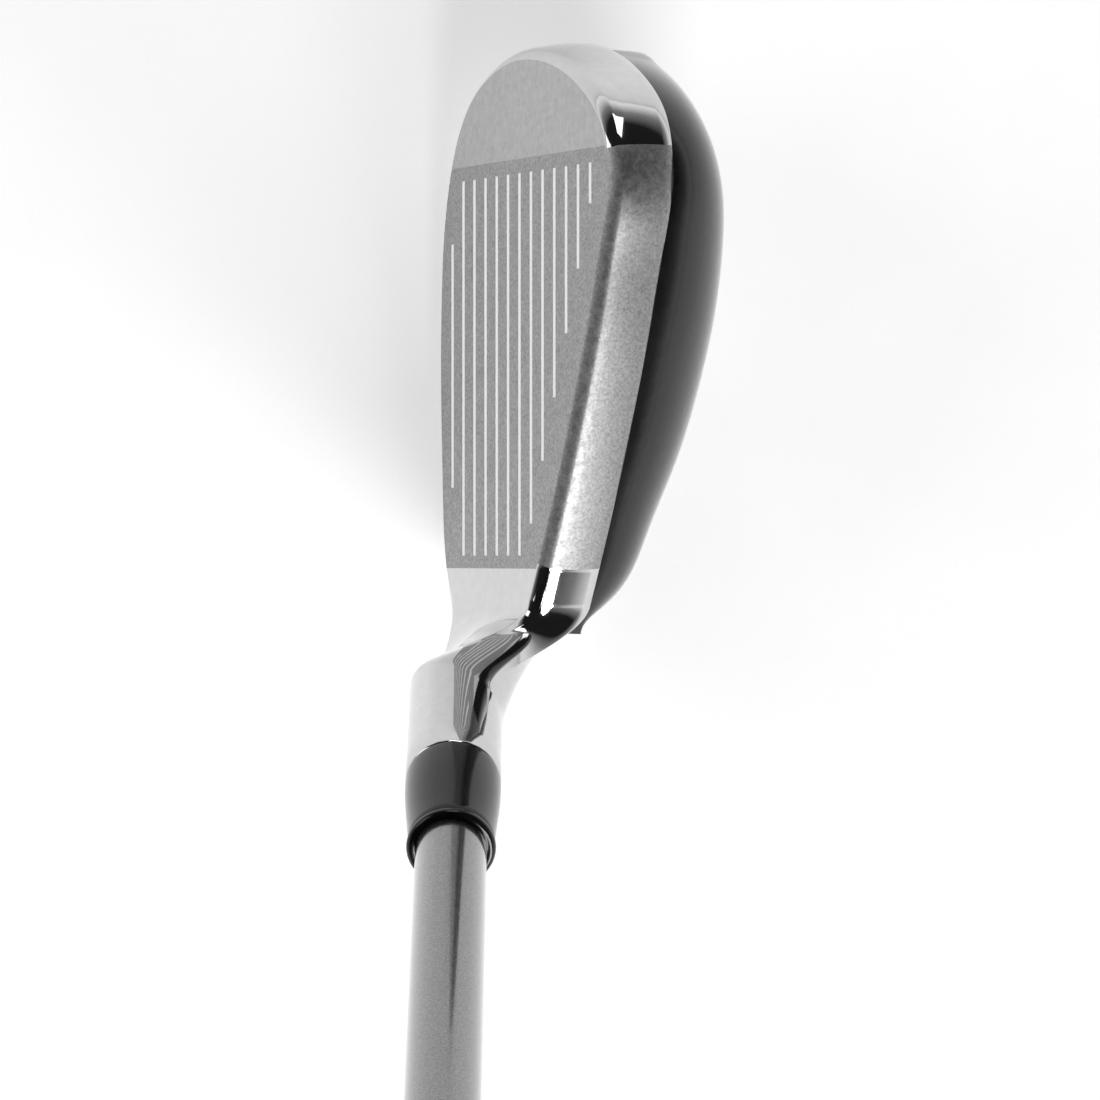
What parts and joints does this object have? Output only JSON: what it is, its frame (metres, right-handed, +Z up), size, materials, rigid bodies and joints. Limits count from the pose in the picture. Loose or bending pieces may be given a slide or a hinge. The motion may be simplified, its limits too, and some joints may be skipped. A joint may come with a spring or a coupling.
{
  "type": "hybrid golf club",
  "caption": "Right-handed hybrid-iron golf club: blasted steel face, chrome neck, gloss black hollow back, composite shaft and rubber grip.",
  "frame": {"origin": "the sole's contact point with the ground at address", "axes": "+X from heel to toe, +Y towards the target, +Z up; the shaft leans towards -X at a lie of 62 degrees"},
  "size_m": [0.5435, 0.0515, 0.8693],
  "materials": {
    "cast_steel": "polished, blasted on the topline",
    "face_steel": "bead blasted",
    "line_paint": "paint fill",
    "black_shell": "gloss black",
    "tungsten": "sintered",
    "adhesive": "cured epoxy",
    "brass": "turned",
    "cork": "raw",
    "ferrule_black": "buffed",
    "shaft_paint": "metallic grey under clear coat",
    "band_print": "plain label",
    "tape": "crepe tape",
    "grip_rubber": "moulded"
  },
  "bodies": {
    "root": {"head_body": "cast_steel", "face_insert": "face_steel", "score_line_paint": "line_paint", "rear_shell": "black_shell", "sole_weight": "tungsten", "hosel_epoxy": "adhesive", "tip_weight_pin": "brass", "tip_plug": "cork", "ferrule": "ferrule_black", "shaft": "shaft_paint", "shaft_band": "band_print", "grip_tape": "tape", "grip_sleeve": "grip_rubber", "grip_cap": "grip_rubber"}
  },
  "joints": []
}
